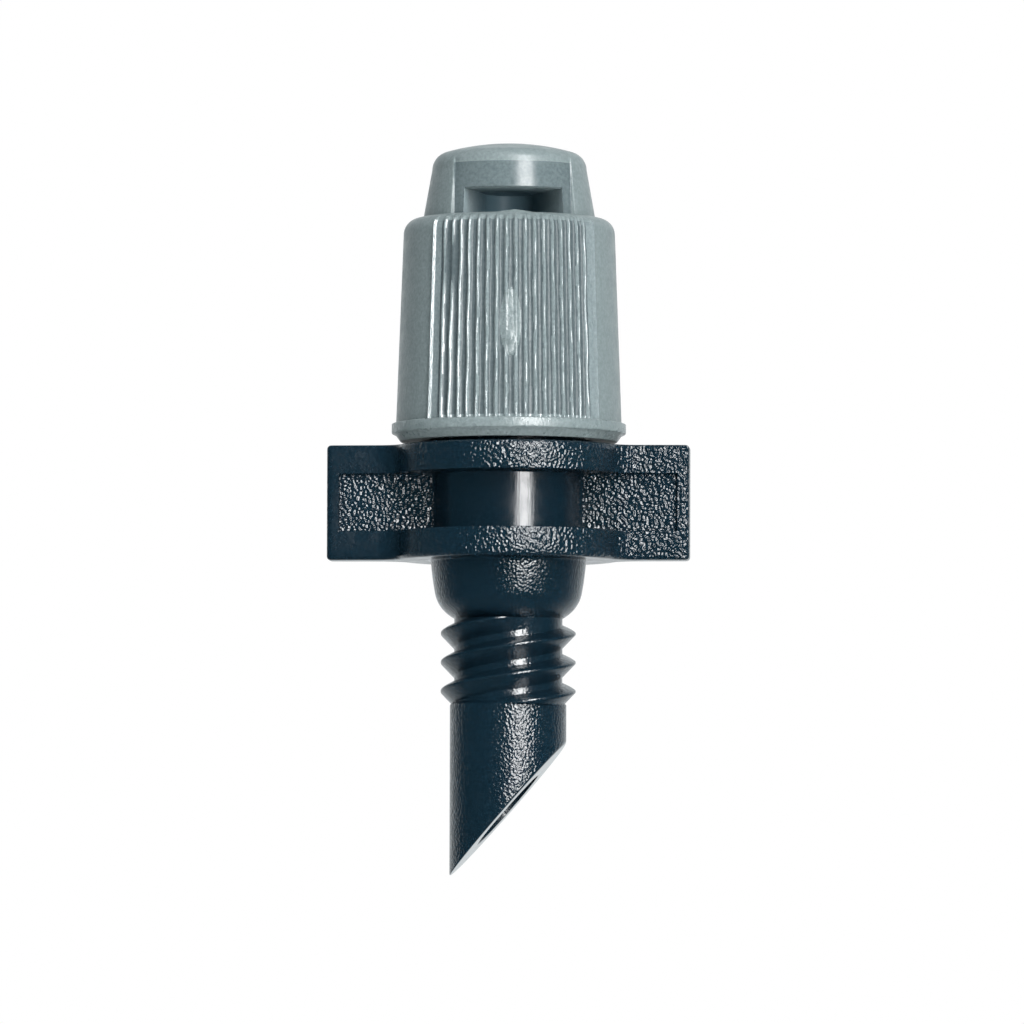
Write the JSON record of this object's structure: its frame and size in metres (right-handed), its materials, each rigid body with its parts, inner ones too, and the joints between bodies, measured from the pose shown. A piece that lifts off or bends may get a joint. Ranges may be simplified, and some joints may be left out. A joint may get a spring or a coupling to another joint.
{
  "type": "adjustable micro spray emitter",
  "caption": "Screw-in micro irrigation spray emitter: winged self-tapping spike base with a ribbed cap that turns to set the flow.",
  "frame": {"origin": "on the part's axis, at the top of the plain shank where the self-tapping thread begins", "axes": "+Z along the axis from the spike towards the spray head; the wings lie along X, the spike's point is on the -X side, and the spray window faces -Y, turned 7 degrees towards +X"},
  "size_m": [0.016, 0.0104, 0.0325],
  "materials": {
    "base_plastic": "near-black moulded plastic with a blue cast; spark-eroded texture, polished drum",
    "cap_plastic": "mid grey moulded plastic, semi-gloss, fine texture on the collar",
    "seal_rubber": "smooth black rubber, lightly greased"
  },
  "bodies": {
    "base": {"base": "base_plastic"},
    "seal": {"o_ring": "seal_rubber"},
    "cap": {"cap": "cap_plastic"}
  },
  "joints": [
    {"name": "cap_rise", "type": "slide", "parent": "base", "child": "seal", "axis": [0, 0, 1], "range_m": [0, 0.0018]},
    {"name": "cap_turn", "type": "hinge", "parent": "seal", "child": "cap", "pos_m": [0, 0, 0], "axis": [0, 0, 1], "range_deg": [0, 540]}
  ],
  "couplings": [
    {"joint": "cap_turn", "follows": "cap_rise", "rad_per_m": 5236}
  ]
}
